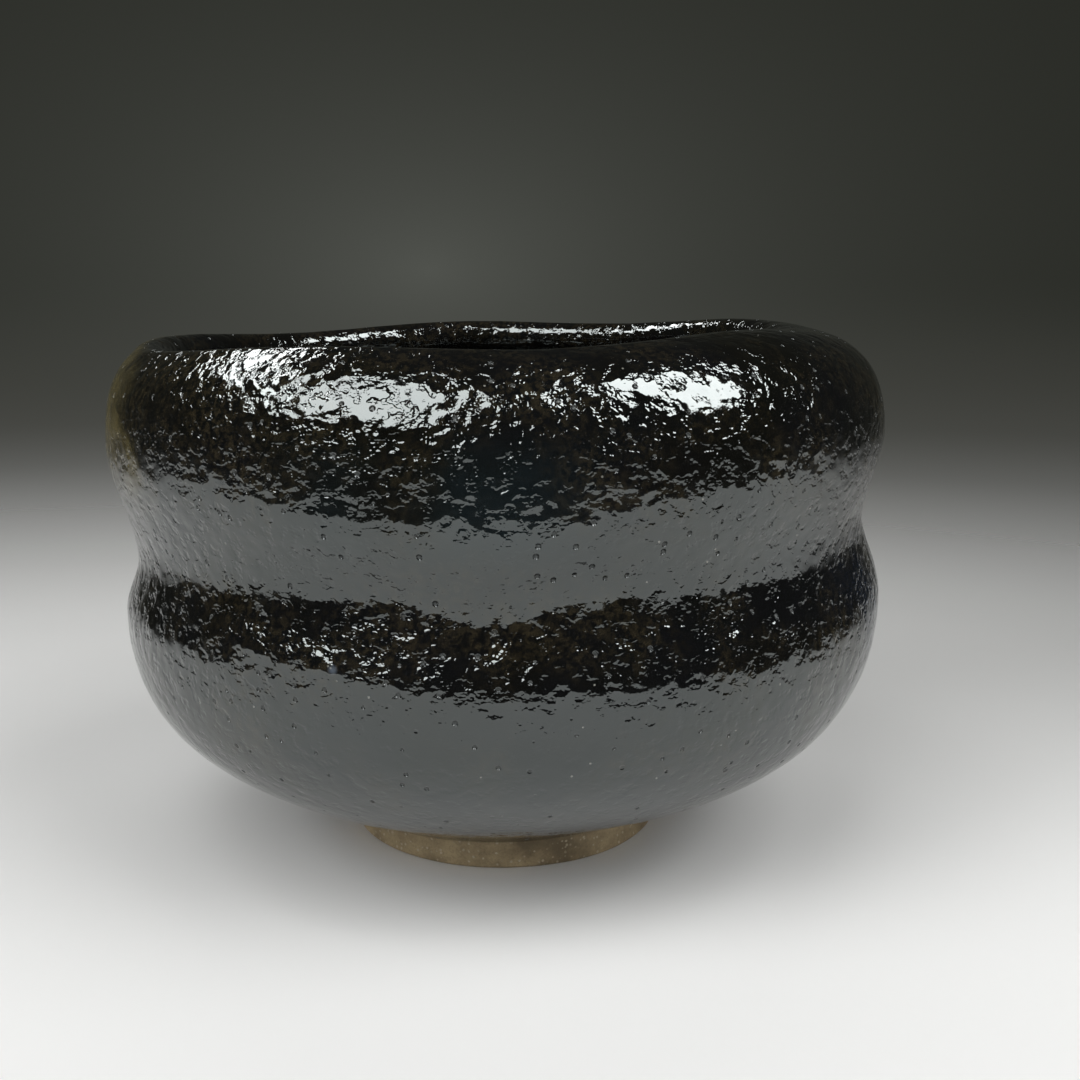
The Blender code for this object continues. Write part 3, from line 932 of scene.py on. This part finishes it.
class TEABOWL_OT_foot(Operator):
    """Makes the trimmed foot ring"""

    bl_idname = "teabowl.foot"
    bl_label = "Foot Ring"

    def execute(self, context):
        form, finish = context.scene.tea_bowl_form, context.scene.tea_bowl_finish
        material = clay_material(finish, "Foot clay", FOOT_SAND)
        piece = turned("foot", lambda a: foot_line(form, a), True, FOOT_SIDES, material)
        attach(piece, "root")
        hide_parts("foot_ring")
        return {"FINISHED"}


class TEABOWL_OT_stage(Operator):
    """Makes the table, the room, the windows, the soft fills and the camera"""

    bl_idname = "teabowl.stage"
    bl_label = "Stage"

    def execute(self, context):
        stage = context.scene.tea_bowl_stage
        lay_table(stage)
        darken_room(context.scene, stage)
        hang_window("Left window", -40, 50, 0.95, (0.58, 0.56), stage.left_window, mirrored=True)
        hang_window("Right window", 70, 53, 0.95, (0.38, 0.62), stage.right_window, mirrored=True)
        hang_window("Side window", -114, 47, 1.0, (1.3, 0.15), stage.side_window, mirrored=True)
        for name, azimuth, elevation, tall in FILLS:
            size = (FILL_WIDTH, tall)
            hang_window(name, azimuth, elevation, FILL_DISTANCE, size, stage.fill, mirrored=False)
        place_camera(context.scene, stage)
        return {"FINISHED"}


def lay_table(stage):
    bm = bmesh.new()
    bmesh.ops.create_circle(bm, cap_ends=True, segments=TABLE_SIDES, radius=TABLE_RADIUS)
    mesh = bpy.data.meshes.new("Table")
    bm.to_mesh(mesh)
    bm.free()
    mesh.materials.append(floor_material(stage))
    table = bpy.data.objects.new("Table", mesh)
    bpy.context.scene.collection.objects.link(table)


def darken_room(scene, stage):
    """A dark room with a soft glow low behind the bowl, which the far table melts into."""
    world = bpy.data.worlds.new("Room")
    world.use_nodes = True
    bench = Bench.for_world(world)
    x, y, z = bench.parts(bench.place)[:3]
    sideways = bench.times(bench.plus(x, GLOW_LEFT), GLOW_FLATTER)
    away = bench.maths("SQRT", bench.plus(bench.times(sideways, sideways), bench.times(z, z)))
    glow = bench.maths("POWER", GLOW_BASE, bench.times(away, -1 / stage.glow_width))
    glow = bench.times(glow, bench.range(y, *GLOW_BEHIND))
    light = bench.mixed(glow, stage.room_colour, stage.glow_colour)
    below = bench.range(z, *BELOW_HORIZON)
    light = bench.mixed(bench.times(below, BELOW_SHARE), light, stage.far_colour)
    bench.feed(bench.shader.inputs["Color"], light)
    scene.world = world


def hang_window(name, azimuth, elevation, distance, size, brightness, mirrored):
    """A soft rectangular light that faces the bowl. Azimuth runs rightwards from the front.

    A mirrored one shows only in reflections. The others light the table, the foot and the clay.
    """
    turn, rise = math.radians(azimuth - 90), math.radians(elevation)
    level = math.cos(rise)
    away = Vector((math.cos(turn) * level, math.sin(turn) * level, math.sin(rise)))
    data = bpy.data.lights.new(name, "AREA")
    data.shape = "RECTANGLE"
    data.size, data.size_y = size
    data.energy = brightness * math.pi * size[0] * size[1]
    light = bpy.data.objects.new(name, data)
    light.location = away * distance + UP * AIM_HEIGHT
    light.rotation_euler = away.to_track_quat("Z", "Y").to_euler()
    light.visible_camera = False
    light.visible_glossy = mirrored
    light.visible_diffuse = not mirrored
    bpy.context.scene.collection.objects.link(light)


def place_camera(scene, stage):
    data = bpy.data.cameras.new("Camera")
    data.lens = stage.camera_lens
    data.sensor_width = SENSOR_WIDTH
    camera = bpy.data.objects.new("Camera", data)
    axis = bowl_axis()
    camera.location = (axis.x, axis.y - stage.camera_distance, stage.camera_height)
    pan, dip = stage.camera_pan, stage.camera_dip
    level = math.cos(dip)
    forward = Vector((math.sin(pan) * level, math.cos(pan) * level, -math.sin(dip)))
    camera.rotation_euler = forward.to_track_quat("-Z", "Y").to_euler()
    scene.collection.objects.link(camera)
    scene.camera = camera
    scene.view_settings.view_transform = "Standard"


class TEABOWL_OT_check_piece(Operator):
    """Stops if a piece has an open edge"""

    bl_idname = "teabowl.check_piece"
    bl_label = "Check Piece"

    piece: StringProperty(name="Piece", description="Name of the piece to check")

    def execute(self, context):
        bm = bmesh.new()
        bm.from_mesh(bpy.data.objects[self.piece].data)
        loose = sum(not edge.is_manifold for edge in bm.edges)
        bm.free()
        if loose:
            raise RuntimeError(f"{self.piece} has {loose} open or crowded edges")
        return {"FINISHED"}


class TEABOWL_PT_panel(Panel):
    """Lists the bowl's operators and settings"""

    bl_label = "Tea Bowl"
    bl_idname = "TEABOWL_PT_panel"
    bl_space_type = "VIEW_3D"
    bl_region_type = "UI"
    bl_category = "Tea Bowl"

    def draw(self, context):
        layout = self.layout
        for operator in (TEABOWL_OT_clay, TEABOWL_OT_foot, TEABOWL_OT_glaze, TEABOWL_OT_stage):
            layout.operator(operator.bl_idname)
        for name in ("tea_bowl_form", "tea_bowl_finish", "tea_bowl_stage"):
            box = layout.box()
            group = getattr(context.scene, name)
            for key in group.__annotations__:
                box.prop(group, key)


CLASSES = (
    TeaBowlForm,
    TeaBowlFinish,
    TeaBowlStage,
    TEABOWL_OT_check_piece,
    TEABOWL_OT_glaze,
    TEABOWL_OT_clay,
    TEABOWL_OT_foot,
    TEABOWL_OT_stage,
    TEABOWL_PT_panel,
)


def register():
    for cls in CLASSES:
        bpy.utils.register_class(cls)
    bpy.types.Scene.tea_bowl_form = PointerProperty(type=TeaBowlForm)
    bpy.types.Scene.tea_bowl_finish = PointerProperty(type=TeaBowlFinish)
    bpy.types.Scene.tea_bowl_stage = PointerProperty(type=TeaBowlStage)


def unregister():
    del bpy.types.Scene.tea_bowl_stage
    del bpy.types.Scene.tea_bowl_finish
    del bpy.types.Scene.tea_bowl_form
    for cls in reversed(CLASSES):
        bpy.utils.unregister_class(cls)


def main():
    register()
    bpy.ops.teabowl.clay()
    bpy.ops.teabowl.foot()
    bpy.ops.teabowl.glaze()
    bpy.ops.teabowl.stage()


if __name__ == "__main__":
    main()
